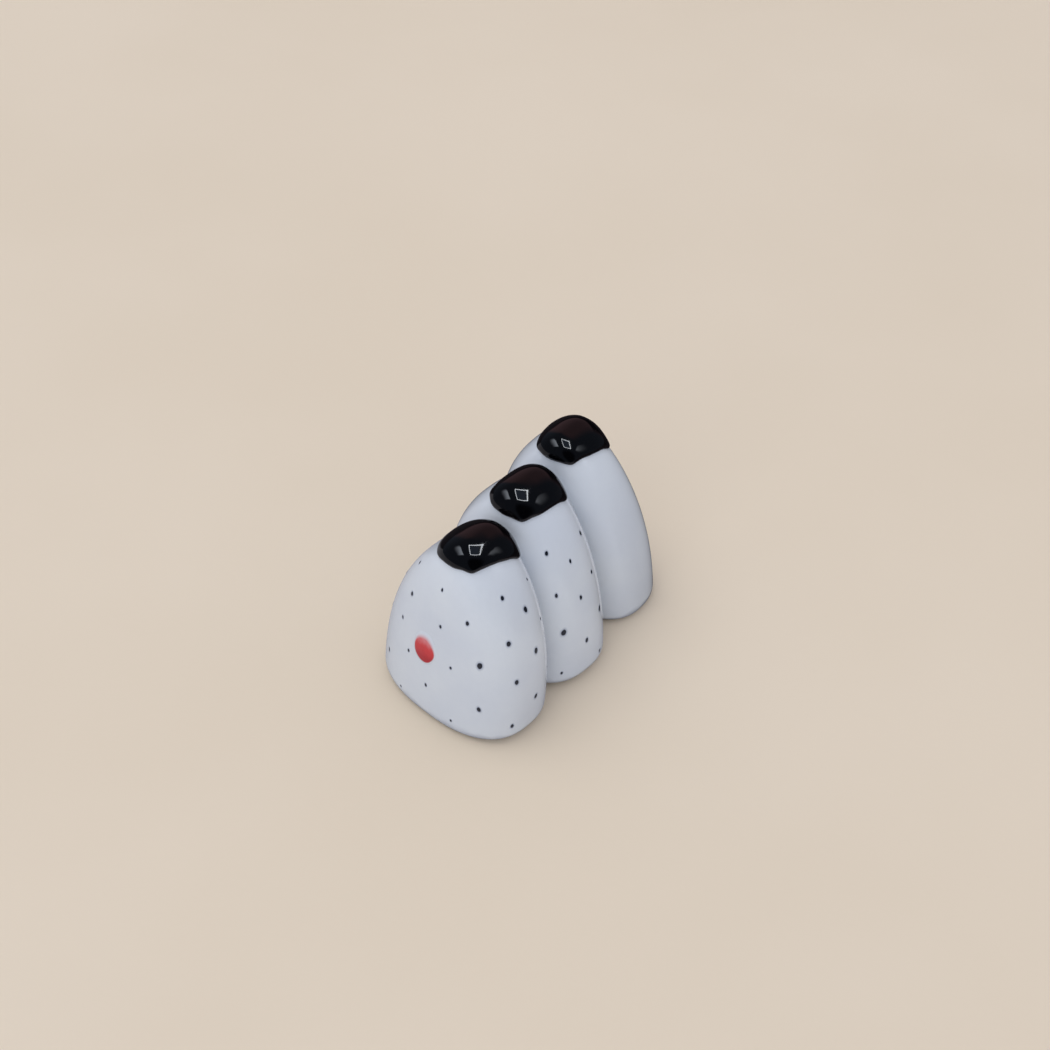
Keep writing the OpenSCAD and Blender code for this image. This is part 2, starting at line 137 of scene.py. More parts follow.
def halfSizes(ball, z):
    form = ballForm
    share = np.clip((z - form["edgeHeight"]) / (ball["tall"] - form["edgeHeight"]), 0, 1)
    below = np.clip((form["edgeHeight"] - z) / (form["edgeHeight"] - form["footHeight"]), 0, 1)
    drawn = 1 - np.sqrt(1 - below**2)
    wide = ball["wide"] / 2 * (1 - share ** form["sideBow"]) ** (1 / form["sideBlunt"])
    thick = ball["thick"] / 2 * (1 - share ** form["faceBow"]) ** (1 / form["faceBlunt"])
    inWide, inThick = ball["edgeIn"]
    return wide - inWide * drawn, thick - inThick * drawn


def centreAt(ball, z):
    across, along = levelAxes(ball)
    rise = np.asarray(z, float)[..., None]
    leanX, leanY = ball["lean"]
    up = np.array([0.0, 0.0, 1.0])
    return np.array(ball["place"]) + rise * (up + (across * leanX + along * leanY) / ball["tall"])


def surfacePoint(ball, angle, z):
    across, along = levelAxes(ball)
    wide, thick = halfSizes(ball, z)
    uneven = unevenness(ball, angle, z)
    power = 2 / ballForm["planSquare"]
    sideways = wide * uneven * signedPower(np.cos(angle), power)
    lengthways = thick * uneven * signedPower(np.sin(angle), power)
    return centreAt(ball, z) + sideways[..., None] * across + lengthways[..., None] * along


def unit(vectors):
    return vectors / np.linalg.norm(vectors, axis=-1, keepdims=True)


def surfaceSteps(ball, angle, z):
    # how the surface runs on, round the ball and up it
    turn = math.radians(ballForm["turnStep"])
    rise = (ball["tall"] - z) * ballForm["riseStepShare"]
    onward = surfacePoint(ball, angle + turn, z) - surfacePoint(ball, angle - turn, z)
    upward = surfacePoint(ball, angle, z + rise) - surfacePoint(ball, angle, z - rise)
    return onward / (2 * turn), upward / (2 * rise[..., None])


def surfaceNormal(ball, angle, z):
    roundStep, upStep = surfaceSteps(ball, angle, z)
    return unit(np.cross(roundStep, upStep))


def lifted(ball, angle, z, height):
    height = np.broadcast_to(height, np.shape(angle))
    return surfacePoint(ball, angle, z) + surfaceNormal(ball, angle, z) * height[..., None]


# The seam planes between the balls

seamForm = {
    "slip": 0.3,  # thickness of the slip between two pressed faces
    "climb": 0.4,  # how far the wiped fillet climbs each ball, along the row
    "sink": 0.012,  # how far its edges lie under the glaze
    "rootShare": 0.6,  # how deep its root reaches between the balls, as a share of the fillet
    "depthPower": 1.5,  # how sharply the crease tone gathers in the middle
    "points": 320,
    "acrossSteps": 14,
    "halvings": 34,
    "sharpAngle": 35,
}


def seamBetween(first, second):
    normal = unit(levelAxes(first)[1] + levelAxes(second)[1])
    middle = (np.array(first["place"]) + np.array(second["place"])) / 2
    middle = middle + normal * (first["thick"] - second["thick"]) / 4
    slope = (first["lean"][1] / first["tall"] + second["lean"][1] / second["tall"]) / 2
    return {"point": middle, "normal": normal, "slope": slope}


frontSeam = seamBetween(balls["front"], balls["middle"])
rearSeam = seamBetween(balls["middle"], balls["back"])


def past(seam, side, offset, points):
    level = (points - seam["point"]) @ seam["normal"]
    return side * (level - seam["slope"] * points[..., 2]) + offset


def pressed(points, seam, side, offset):
    depth = np.maximum(0, past(seam, side, offset, points))
    return points - side * depth[..., None] * seam["normal"]


def pressFlat(mesh, seam, side, offset):
    # cuts a ball's mesh off square at its luting plane
    away = Vector(seam["normal"]) - Vector((0, 0, seam["slope"]))
    point = Vector(seam["point"]) - Vector(seam["normal"]) * side * offset
    work = bmesh.new()
    work.from_mesh(mesh)
    bmesh.ops.bisect_plane(
        work, geom=work.verts[:] + work.edges[:] + work.faces[:],
        plane_co=point * millimetre, plane_no=away * side, clear_outer=True)
    rim = [edge for edge in work.edges if edge.is_boundary]
    bmesh.ops.holes_fill(work, edges=rim, sides=0)
    work.to_mesh(mesh)
    work.free()
    mesh.shade_smooth()
    mesh.set_sharp_from_angle(angle=math.radians(ballForm["sharpAngle"]))


ballPresses = {
    "front": ((frontSeam, 1),),
    "middle": ((frontSeam, -1), (rearSeam, 1)),
    "back": ((rearSeam, -1),),
}


# Meshes from stacks of rings

def skinFaces(ringCount, pointCount):
    faces = []
    lastTip = 1 + ringCount * pointCount
    for i in range(pointCount):
        after = (i + 1) % pointCount
        faces.append((0, 1 + after, 1 + i))
    for k in range(ringCount - 1):
        low = 1 + k * pointCount
        high = low + pointCount
        for i in range(pointCount):
            after = (i + 1) % pointCount
            faces.append((low + i, low + after, high + after, high + i))
    top = 1 + (ringCount - 1) * pointCount
    for i in range(pointCount):
        after = (i + 1) % pointCount
        faces.append((lastTip, top + i, top + after))
    return faces


def skinPoints(rings, firstTip, lastTip):
    return np.vstack([firstTip, rings.reshape(-1, 3), lastTip])


def makePiece(name, parts, material, sharpAngle=50, values=None):
    # parts are (points, faces) pairs in millimetres; values are named lists, one number a point
    points = []
    faces = []
    start = 0
    for partPoints, partFaces in parts:
        points.append(partPoints)
        faces.extend(tuple(start + i for i in face) for face in partFaces)
        start += len(partPoints)
    mesh = bpy.data.meshes.new(name)
    mesh.from_pydata((np.vstack(points) * millimetre).tolist(), [], faces)
    mesh.update()
    mesh.shade_smooth()
    mesh.set_sharp_from_angle(angle=math.radians(sharpAngle))
    for key, numbers in (values or {}).items():
        layer = mesh.attributes.new(key, "FLOAT", "POINT")
        layer.data.foreach_set("value", np.asarray(numbers, np.float32))
    piece = bpy.data.objects.new(name, mesh)
    piece.data.materials.append(material)
    scene.collection.objects.link(piece)
    return piece


# Shader helpers

noiseSpread = (0.3, 0.7)  # nearly all of a noise texture lies between these


def newMaterial(name):
    material = bpy.data.materials.new(name)
    material.use_nodes = True
    nodes = material.node_tree.nodes
    return material, nodes, material.node_tree.links, nodes["Principled BSDF"]


def addNode(nodes, kind, place, **settings):
    node = nodes.new(kind)
    node.location = place
    for key, value in settings.items():
        setattr(node, key, value)
    return node


def setInputs(node, **values):
    for key, value in values.items():
        node.inputs[key.replace("_", " ")].default_value = value


def mixColor(nodes, links, place, factor, first, second, blend="MIX"):
    # a mix of colours takes sockets 0, 6 and 7 and gives socket 2
    node = addNode(nodes, "ShaderNodeMix", place, data_type="RGBA", blend_type=blend)
    for socket, value in ((0, factor), (6, first), (7, second)):
        if isinstance(value, bpy.types.NodeSocket):
            links.new(value, node.inputs[socket])
        else:
            node.inputs[socket].default_value = value
    return node.outputs[2]


def mapRange(nodes, links, place, value, low, high, toLow, toHigh, smooth=True):
    # low and high, numbers or sockets, become toLow and toHigh
    node = addNode(nodes, "ShaderNodeMapRange", place)
    node.interpolation_type = "SMOOTHSTEP" if smooth else "LINEAR"
    links.new(value, node.inputs[0])
    for socket, number in zip((1, 2, 3, 4), (low, high, toLow, toHigh)):
        if isinstance(number, bpy.types.NodeSocket):
            links.new(number, node.inputs[socket])
        else:
            node.inputs[socket].default_value = number
    return node.outputs[0]


def noiseOut(nodes, links, place, coordinate, scale, detail=2.0):
    node = addNode(nodes, "ShaderNodeTexNoise", place)
    links.new(coordinate, node.inputs["Vector"])
    if isinstance(scale, bpy.types.NodeSocket):
        links.new(scale, node.inputs["Scale"])
    else:
        node.inputs["Scale"].default_value = scale
    node.inputs["Detail"].default_value = detail
    return node.outputs["Fac"]


# Glaze tone: broad cloudy patches where the glaze lies thicker, a fine mottle, a bluish darker band
# towards the foot that is partly glaze gathered there and partly painted shade of the lower edge,
# and the faint dimpling of a fired surface. All pieces stand at the origin,
# so the pattern runs on from one piece to the next.

toneForm = {
    "patchEdges": (0.32, 0.68),  # between these noise levels the glaze goes from thin to thick
    "mottleScale": 1500.0,
    "mottleEdges": (0.35, 0.65),
    "mottleDim": 0.94,
    "footGlazeAndShadeStart": 0.0006,  # full up to this height, in metres
    "footGlazeAndShadeWanderScale": 300.0,
    "footGlazeAndShadeWander": (0.7, 1.3),  # how its height wanders, as shares
    "dimpleScale": 420.0,
}


def glazeToneGroup():
    group = bpy.data.node_groups.new("glazeTone", "ShaderNodeTree")
    sockets = group.interface
    for name in ("Thin", "Thick", "Pool"):
        sockets.new_socket(name=name, in_out="INPUT", socket_type="NodeSocketColor")
    for name in ("Pool Height", "Patch Scale", "Mottle", "Roughness Low", "Roughness High"):
        sockets.new_socket(name=name, in_out="INPUT", socket_type="NodeSocketFloat")
    sockets.new_socket(name="Color", in_out="OUTPUT", socket_type="NodeSocketColor")
    for name in ("Roughness", "Height"):
        sockets.new_socket(name=name, in_out="OUTPUT", socket_type="NodeSocketFloat")
    nodes = group.nodes
    links = group.links
    given = addNode(nodes, "NodeGroupInput", (-900, 0))
    made = addNode(nodes, "NodeGroupOutput", (900, 0))
    place = addNode(nodes, "ShaderNodeTexCoord", (-900, -300)).outputs["Object"]
    patches = noiseOut(nodes, links, (-600, 200), place, given.outputs["Patch Scale"], 3.0)
    cloudy = mapRange(nodes, links, (-400, 200), patches, *toneForm["patchEdges"], 0.0, 1.0)
    tone = mixColor(
        nodes, links, (-200, 200), cloudy, given.outputs["Thin"], given.outputs["Thick"])
    fine = noiseOut(nodes, links, (-600, -50), place, toneForm["mottleScale"])
    speckle = mapRange(
        nodes, links, (-400, -50), fine,
        *toneForm["mottleEdges"], 1.0, toneForm["mottleDim"], smooth=False)
    mottled = mixColor(nodes, links, (0, 200), given.outputs["Mottle"], tone, speckle)
    dimmed = mixColor(nodes, links, (200, 200), given.outputs["Mottle"], tone, mottled, "MULTIPLY")
    split = addNode(nodes, "ShaderNodeSeparateXYZ", (-600, -400))
    links.new(place, split.inputs[0])
    wander = noiseOut(nodes, links, (-600, -550), place, toneForm["footGlazeAndShadeWanderScale"], 1.0)
    wandering = mapRange(
        nodes, links, (-400, -700), wander, *noiseSpread, *toneForm["footGlazeAndShadeWander"])
    poolTop = addNode(nodes, "ShaderNodeMath", (-400, -550), operation="MULTIPLY")
    links.new(given.outputs["Pool Height"], poolTop.inputs[0])
    links.new(wandering, poolTop.inputs[1])
    # darker and bluer towards the foot: partly glaze gathered there, partly painted shade of the
    # lower edge
    pooled = mapRange(
        nodes, links, (-200, -400), split.outputs["Z"],
        toneForm["footGlazeAndShadeStart"], poolTop.outputs[0], 1.0, 0.0)
    color = mixColor(nodes, links, (400, 100), pooled, dimmed, given.outputs["Pool"])
    links.new(color, made.inputs["Color"])
    rough = mapRange(
        nodes, links, (200, -200), patches, *noiseSpread,
        given.outputs["Roughness Low"], given.outputs["Roughness High"])
    links.new(rough, made.inputs["Roughness"])
    dimples = noiseOut(nodes, links, (-200, -850), place, toneForm["dimpleScale"])
    links.new(dimples, made.inputs["Height"])
    return group


glazeTone = glazeToneGroup()


def placeGlaze(nodes, place, values):
    node = addNode(nodes, "ShaderNodeGroup", place, node_tree=glazeTone)
    setInputs(node, **values)
    return node


def bumpFrom(nodes, links, place, height, strength, distance):
    node = addNode(nodes, "ShaderNodeBump", place)
    setInputs(node, Strength=strength, Distance=distance)
    links.new(height, node.inputs["Height"])
    return node.outputs["Normal"]


def attributeOut(nodes, name, place):
    node = addNode(nodes, "ShaderNodeAttribute", place, attribute_name=name)
    node.attribute_type = "GEOMETRY"
    return node.outputs["Fac"]


# White glaze

whiteLooks = {
    "tone": {
        "Thin": (0.73, 0.775, 0.823, 1),
        "Thick": (0.69, 0.737, 0.80, 1),
        # painted shade: this bluish grey at the foot stands partly for gathered glaze, partly for
        # the shade under the lower edge
        "Pool": (0.43, 0.475, 0.56, 1),
        "Pool_Height": 0.0018,
        "Patch_Scale": 105.0,
        "Mottle": 0.35,
        "Roughness_Low": 0.09,
        "Roughness_High": 0.17,
    },
    "dimpleStrength": 0.12,
    "dimpleDepth": 0.00003,
    "clearCoat": 0.35,
    "clearCoatRoughness": 0.04,
}


def coatClear(shader):
    setInputs(
        shader,
        Coat_Weight=whiteLooks["clearCoat"], Coat_Roughness=whiteLooks["clearCoatRoughness"])


def whiteGlazeMaterial():
    material, nodes, links, shader = newMaterial("whiteGlaze")
    tone = placeGlaze(nodes, (-500, 0), whiteLooks["tone"])
    links.new(tone.outputs["Color"], shader.inputs["Base Color"])
    links.new(tone.outputs["Roughness"], shader.inputs["Roughness"])
    normal = bumpFrom(
        nodes, links, (-250, -250), tone.outputs["Height"],
        whiteLooks["dimpleStrength"], whiteLooks["dimpleDepth"])
    links.new(normal, shader.inputs["Normal"])
    coatClear(shader)
    return material


whiteGlaze = whiteGlazeMaterial()


# Rice balls

def ballPiece(key, name, node):
    ball = balls[key]
    form = ballForm
    angles = np.linspace(0, math.tau, form["roundPoints"], endpoint=False)
    edgeTurn = np.linspace(0, math.pi / 2, form["edgeRings"], endpoint=False)
    edgeHeights = form["edgeHeight"] - (form["edgeHeight"] - form["footHeight"]) * np.cos(edgeTurn)
    climb = 1 - (1 - np.arange(form["flankRings"]) / form["flankRings"]) ** form["crowding"]
    flankHeights = form["edgeHeight"] + (ball["tall"] - form["edgeHeight"]) * climb
    heights = np.concatenate([edgeHeights, flankHeights])
    roundGrid, heightGrid = np.meshgrid(angles, heights)
    rings = surfacePoint(ball, roundGrid, heightGrid)
    faces = skinFaces(len(heights), form["roundPoints"])
    points = skinPoints(rings, rings[0].mean(axis=0), centreAt(ball, ball["tall"]))
    piece = makePiece(name, [(points, faces)], whiteGlaze)
    for seam, side in ballPresses[key]:
        pressFlat(piece.data, seam, side, seamForm["slip"] / 2)
    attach(piece, "root")
    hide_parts(node)


for key in balls:
    ballPiece(key, f"{key}Ball", f"{key}_rice_ball")
print("rice balls pressed and glazed")


# Slip seams, wiped to a smooth fillet that runs tangent into both balls

slipLooks = {
    "tone": {
        **whiteLooks["tone"],
        "Thin": (0.69, 0.735, 0.79, 1),
        "Thick": (0.64, 0.69, 0.76, 1),
    },
}


def slipMaterial():
    material, nodes, links, shader = newMaterial("slipGlaze")
    tone = placeGlaze(nodes, (-700, 0), slipLooks["tone"])
    bare = placeGlaze(nodes, (-700, -350), whiteLooks["tone"])
    depth = attributeOut(nodes, "creaseDepth", (-700, 250))
    color = mixColor(
        nodes, links, (-350, 100), depth, bare.outputs["Color"], tone.outputs["Color"])
    links.new(color, shader.inputs["Base Color"])
    links.new(tone.outputs["Roughness"], shader.inputs["Roughness"])
    coatClear(shader)
    return material


slipGlaze = slipMaterial()


def facingAngle(ball, seam, side, z):
    across, along = levelAxes(ball)
    wide, thick = halfSizes(ball, z)
    square = ballForm["planSquare"]
    power = square / (square - 1) / 2
    return np.arctan2(
        signedPower(side * thick * (seam["normal"] @ along), power),
        signedPower(side * wide * (seam["normal"] @ across), power))


def creaseEnd(ball, seam, side, offset, outside):
    # the height where the crease ends, between the lower edge and a height outside it
    inside = ballForm["edgeHeight"]
    for _ in range(seamForm["halvings"]):
        halfway = np.array((inside + outside) / 2)
        nearest = surfacePoint(ball, facingAngle(ball, seam, side, halfway), halfway)
        if past(seam, side, offset, nearest) > 0:
            inside = float(halfway)
        else:
            outside = float(halfway)
    return inside


def creaseLine(ball, seam, side, offset):
    # where the ball's full surface crosses a plane that lies before the seam by the offset
    bottom = creaseEnd(ball, seam, side, offset, ballForm["footHeight"])
    top = creaseEnd(ball, seam, side, offset, ball["tall"])
    phase = math.tau * (np.arange(seamForm["points"]) + 0.5) / seamForm["points"]
    z = bottom + (top - bottom) * (1 - np.cos(phase)) / 2
    inner = facingAngle(ball, seam, side, z)
    outer = np.where(phase < math.pi, math.pi * side, 0.0)
    for _ in range(seamForm["halvings"]):
        halfway = (inner + outer) / 2
        over = past(seam, side, offset, surfacePoint(ball, halfway, z)) > 0
        inner = np.where(over, halfway, inner)
        outer = np.where(over, outer, halfway)
    angle = (inner + outer) / 2
    return angle, z


def seamPiece(name, node, first, second, seam):
    ends = []
    roots = []
    for ball, side in ((first, 1), (second, -1)):
        offset = seamForm["slip"] / 2
        angle, z = creaseLine(ball, seam, side, offset + seamForm["climb"])
        ends.append(lifted(ball, angle, z, -seamForm["sink"]))
        angle, z = creaseLine(ball, seam, side, offset)
        roots.append(surfacePoint(ball, angle, z))
    middle = (roots[0] + roots[1]) / 2
    count = seamForm["points"]
    rings = [middle + (middle - (ends[0] + ends[1]) / 2) * seamForm["rootShare"]]
    depth = [np.ones(count)]
    for share in np.linspace(0, 1, seamForm["acrossSteps"] + 1):
        bend = 2 * share * (1 - share)
        rings.append(ends[0] * (1 - share) ** 2 + middle * bend + ends[1] * share**2)
        depth.append(np.full(count, math.sin(math.pi * share) ** seamForm["depthPower"]))
    points = np.vstack(rings)
    faces = []
    for k in range(len(rings)):
        low = k * count
        high = (k + 1) % len(rings) * count
        for i in range(count):
            after = (i + 1) % count
            faces.append((low + i, low + after, high + after, high + i))
    values = {"creaseDepth": np.concatenate(depth)}
    piece = makePiece(name, [(points, faces)], slipGlaze, seamForm["sharpAngle"], values)
    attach(piece, "root")
    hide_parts(node)


seamPiece("frontSlip", "front_slip_seam", balls["front"], balls["middle"], frontSeam)
seamPiece("rearSlip", "rear_slip_seam", balls["middle"], balls["back"], rearSeam)
print("slip seams wiped")


# Nori caps

capForm = {
    "crownThick": 0.8,
    "rimThick": 0.3,
    "shoulder": 2.5,  # how long it stays thick from crown to rim
    "rimRound": 0.28,
    "rimSquare": 2.2,  # squareness of the rounded rim: 2 is a quarter circle's
    "dropFace": 2.55,
    "dropSide": 2.15,
    "dropCorner": 0.25,
    "leftCornerShare": 0.35,  # the left corners hang less
    "cornerSharpness": 8,
    "seat": 0.05,
    "sink": 0.06,  # how far its underside lies in the glaze
    "rimWander": 0.05,  # how unevenly the rim is laid
    "rimWaves": (3, 5, 7, 11),
    "roundPoints": 240,
    "overRings": 46,
    "rimRings": 16,
    "underRings": 12,
    "crowding": 1.8,
    "sharpAngle": 70,
}
capLies = {
    "front": {"low": 0.1, "back": 1.0, "right": -0.4, "tails": 0.15, "seed": 5},
    "middle": {"low": -0.3, "back": 0.45, "right": 0.4, "tails": 0.3, "seed": 11},
    "back": {"low": -0.15, "back": 0.7, "right": 0.0, "tails": 0.3, "seed": 23},
}
blackLooks = {
    "tone": {
        "Thin": (0.0022, 0.0016, 0.0019, 1),
        "Thick": (0.0009, 0.0008, 0.0012, 1),
        "Pool": (0.0009, 0.0008, 0.0012, 1),
        "Pool_Height": 0.0005,
        "Patch_Scale": 160.0,
        "Mottle": 0.3,
        "Roughness_Low": 0.035,
        "Roughness_High": 0.07,
    },
    "thinEdge": (0.006, 0.0045, 0.005, 1),  # the glaze thins and browns at the rim
    "thinFrom": 0.82,  # share of the way down to the rim where it starts
    "dimpleStrength": 0.1,
    "dimpleDepth": 0.00002,
}


def blackGlazeMaterial():
    material, nodes, links, shader = newMaterial("blackGlaze")
    tone = placeGlaze(nodes, (-700, 0), blackLooks["tone"])
    rim = attributeOut(nodes, "rimShare", (-900, 250))
    edge = mapRange(nodes, links, (-600, 250), rim, blackLooks["thinFrom"], 1.0, 0.0, 1.0)
    color = mixColor(nodes, links, (-300, 100), edge, tone.outputs["Color"], blackLooks["thinEdge"])
    links.new(color, shader.inputs["Base Color"])
    links.new(tone.outputs["Roughness"], shader.inputs["Roughness"])
    normal = bumpFrom(
        nodes, links, (-250, -250), tone.outputs["Height"],
        blackLooks["dimpleStrength"], blackLooks["dimpleDepth"])
    links.new(normal, shader.inputs["Normal"])
    return material


blackGlaze = blackGlazeMaterial()


def capDrop(lie, angle):
    draw = random.Random(lie["seed"])
    wander = 0.0
    for waves in capForm["rimWaves"]:
        wander = wander + np.sin(waves * angle + draw.uniform(0, math.tau)) / math.sqrt(waves)
    corner = np.abs(np.sin(2 * angle)) ** capForm["cornerSharpness"]
    cornerDrop = capForm["dropCorner"] + np.where(np.sin(angle) > 0, lie["tails"], 0.0)
    cornerDrop = cornerDrop * np.where(np.cos(angle) < 0, capForm["leftCornerShare"], 1.0)
    return (
        capForm["dropSide"] * np.cos(angle) ** 2
        + capForm["dropFace"] * np.sin(angle) ** 2
        + cornerDrop * corner
        + lie["low"] + lie["back"] * np.sin(angle) + lie["right"] * np.cos(angle)
        + capForm["rimWander"] * wander
    )


def capThick(share):
    swell = capForm["crownThick"] - capForm["rimThick"]
    return capForm["rimThick"] + swell * (1 - share ** capForm["shoulder"])


def capPiece(key, name, node):
    ball = balls[key]
    lie = capLies[key]
    form = capForm
    angles = np.linspace(0, math.tau, form["roundPoints"], endpoint=False)
    drop = capDrop(lie, angles)
    rimStart = 1 - form["rimRound"] / (drop + form["rimRound"])
    rings = []
    rimShares = []

    def addRing(share, height):
        z = ball["tall"] - drop * share
        rings.append(lifted(ball, angles, z, form["seat"] + height))
        rimShares.append(np.broadcast_to(share, drop.shape))

    for k in range(1, form["underRings"] + 1):
        addRing((k / form["underRings"]) ** form["crowding"], -form["seat"] - form["sink"])
    for k in range(form["rimRings"]):
        turn = math.pi / 2 * k / form["rimRings"]
        outward = math.cos(turn) ** (2 / form["rimSquare"])
        upward = math.sin(turn) ** (2 / form["rimSquare"])
        share = rimStart + (1 - rimStart) * outward
        addRing(share, capThick(share) * upward - (form["seat"] + form["sink"]) * (k == 0))
    for k in range(form["overRings"], 0, -1):
        share = (k / form["overRings"]) ** form["crowding"] * rimStart
        addRing(share, capThick(share))
    stack = np.array(rings)
    faces = skinFaces(len(stack), form["roundPoints"])
    apex = centreAt(ball, ball["tall"])
    points = skinPoints(
        stack, apex - [0, 0, form["sink"]], apex + [0, 0, form["seat"] + form["crownThick"]])
    values = {"rimShare": np.concatenate([[0.0], np.concatenate(rimShares), [0.0]])}
    piece = makePiece(name, [(points, faces)], blackGlaze, form["sharpAngle"], values)
    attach(piece, "root")
    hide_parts(node)


for key in balls:
    capPiece(key, f"{key}Cap", f"{key}_nori_cap")
print("nori caps laid")


# Sesame specks: how far round the ball as a share of a turn, how high as a share of its height,
# and how large as a share of the largest speck

speckForm = {
    "largest": 0.7,
    "haloShare": 2.1,  # the stain in the glaze reaches this far past the speck
    "rise": 0.035,
    "seat": 0.012,
    "sides": 40,
    "rings": 14,
    "raggedShare": 0.07,
    "raggedWaves": (2, 3, 5),
    "longShare": 0.06,
    "leastLong": 0.3,
    "wideShare": 0.9,
    "tallShare": 1.3,  # drawn down the ball by the brush
    "fadePower": 6,
    "tuck": 0.004,  # the stain's rim dips into the glaze by this
    "root": 0.02,
    "sharpAngle": 80,
    "seed": 41,
}
speckPlaces = {
    "front": (
        (0.67, 0.67, 0.7), (0.75, 0.82, 0.5), (0.67, 0.5, 0.55), (0.76, 0.63, 0.55),
        (0.83, 0.72, 0.65), (0.64, 0.2, 0.7), (0.71, 0.35, 0.55), (0.97, 0.82, 0.65),
        (0.09, 0.8, 0.4), (0.02, 0.72, 0.85), (0.08, 0.6, 0.45), (0.95, 0.62, 0.8),
        (0.02, 0.5, 0.9), (0.86, 0.51, 1), (0.79, 0.43, 0.5), (0.75, 0.22, 0.55),
        (0.7, 0.07, 0.4), (0.96, 0.4, 0.8), (0.01, 0.23, 0.8), (0.86, 0.24, 0.8),
        (0.8, 0.09, 0.45), (0.95, 0.12, 0.7), (0.08, 0.3, 0.45), (0.6, 0.8, 0.55),
        (0.55, 0.62, 0.8), (0.47, 0.74, 0.6), (0.44, 0.52, 0.7), (0.57, 0.4, 0.6),
        (0.49, 0.3, 0.9), (0.43, 0.16, 0.6), (0.54, 0.12, 0.7),
    ),
    "middle": (
        (0.94, 0.78, 0.65), (0, 0.7, 0.55), (0.085, 0.75, 0.7), (0.06, 0.57, 0.6),
        (0.935, 0.58, 0.6), (0, 0.51, 0.65), (0.06, 0.35, 0.9), (0.94, 0.37, 1),
        (0, 0.25, 0.8), (0.045, 0.09, 0.65), (0.93, 0.11, 0.5), (0.45, 0.76, 0.6),
        (0.54, 0.66, 0.8), (0.43, 0.57, 0.55), (0.5, 0.47, 0.9), (0.57, 0.36, 0.6),
        (0.44, 0.31, 0.75), (0.51, 0.18, 0.6), (0.56, 0.09, 0.8),
    ),
}
sesameLooks = {
    "ink": (0.010, 0.013, 0.022, 1),
    "stain": (0.40, 0.45, 0.54, 1),  # bluish grey that bleeds into the glaze round it
    "stainFades": (0.42, 1.0),  # shares of the way out to the stain's rim
    "inkEnds": (0.43, 0.57),
}


def sesameMaterial():
    material, nodes, links, shader = newMaterial("sesameBlack")
    tone = placeGlaze(nodes, (-900, 0), whiteLooks["tone"])
    out = attributeOut(nodes, "speckShare", (-1100, 250))
    stained = mapRange(nodes, links, (-800, 350), out, *sesameLooks["stainFades"], 1.0, 0.0)
    inked = mapRange(nodes, links, (-800, 200), out, *sesameLooks["inkEnds"], 1.0, 0.0)
    halo = mixColor(nodes, links, (-500, 100), stained, tone.outputs["Color"], sesameLooks["stain"])
    color = mixColor(nodes, links, (-300, 100), inked, halo, sesameLooks["ink"])
    links.new(color, shader.inputs["Base Color"])
    links.new(tone.outputs["Roughness"], shader.inputs["Roughness"])
    coatClear(shader)
    return material


sesameBlack = sesameMaterial()


def speckSkin(ball, angle, z, size, draw):
    # a low dome that follows the glaze; its outer rings are the stain, at the glaze's own level
    form = speckForm
    here = (np.array(angle), np.array(z))
    roundStep, upStep = surfaceSteps(ball, *here)
    normal = surfaceNormal(ball, *here)
    sideways = unit(roundStep)
    upwards = np.cross(normal, sideways)
    stepProducts = np.array([
        [roundStep @ roundStep, roundStep @ upStep],
        [roundStep @ upStep, upStep @ upStep],
    ])
    turns = np.linspace(0, math.tau, form["sides"], endpoint=False)
    longTurn = draw.uniform(0, math.pi)
    stretch = form["longShare"] * draw.uniform(form["leastLong"], 1)
    ragged = np.zeros_like(turns)
    for waves in form["raggedWaves"]:
        ragged += np.sin(waves * turns + draw.uniform(0, math.tau)) / waves
    shape = (1 + form["raggedShare"] * ragged) * (1 + stretch * np.cos(2 * (turns - longTurn)))
    reach = size / 2 * form["haloShare"]
    rings = []
    outShares = []
    for k in range(form["rings"], 0, -1):
        share = k / form["rings"]
        core = share * form["haloShare"]
        offsets = (
            form["wideShare"] * np.cos(turns)[:, None] * sideways
            + form["tallShare"] * np.sin(turns)[:, None] * upwards
        ) * (reach * share * shape)[:, None]
        offsetProducts = np.stack([offsets @ roundStep, offsets @ upStep])
        moves = np.linalg.solve(stepProducts, offsetProducts)
        dome = form["rise"] * math.sqrt(max(0.0, 1 - core**2))
        fade = form["seat"] * (1 - share ** form["fadePower"])
        tuck = form["tuck"] if k == form["rings"] else 0.0
        rings.append(lifted(ball, angle + moves[0], z + moves[1], fade + dome - tuck))
        outShares.append(np.full(form["sides"], share))
    under = lifted(ball, *here, -form["root"])
    tip = lifted(ball, *here, form["rise"] + form["seat"])
    stack = np.array(rings)
    faces = skinFaces(len(stack), form["sides"])
    points = skinPoints(stack, under, tip)
    shares = np.concatenate([[1.0], np.concatenate(outShares), [0.0]])
    return (points, faces), shares


def speckPiece(key, name, node):
    ball = balls[key]
    draw = random.Random(speckForm["seed"] + len(speckPlaces[key]))
    parts = []
    shares = []
    for turnShare, heightShare, sizeShare in speckPlaces[key]:
        part, share = speckSkin(
            ball, math.tau * turnShare, ball["tall"] * heightShare,
            speckForm["largest"] * sizeShare, draw)
        parts.append(part)
        shares.append(share)
    values = {"speckShare": np.concatenate(shares)}
    piece = makePiece(name, parts, sesameBlack, speckForm["sharpAngle"], values)
    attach(piece, "root")
    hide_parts(node)


for key in speckPlaces:
    speckPiece(key, f"{key}Specks", f"{key}_sesame_specks")
print("sesame scattered")


# Plum spot: one press of the brush, deep red at its foot, thinning into the glaze at its top

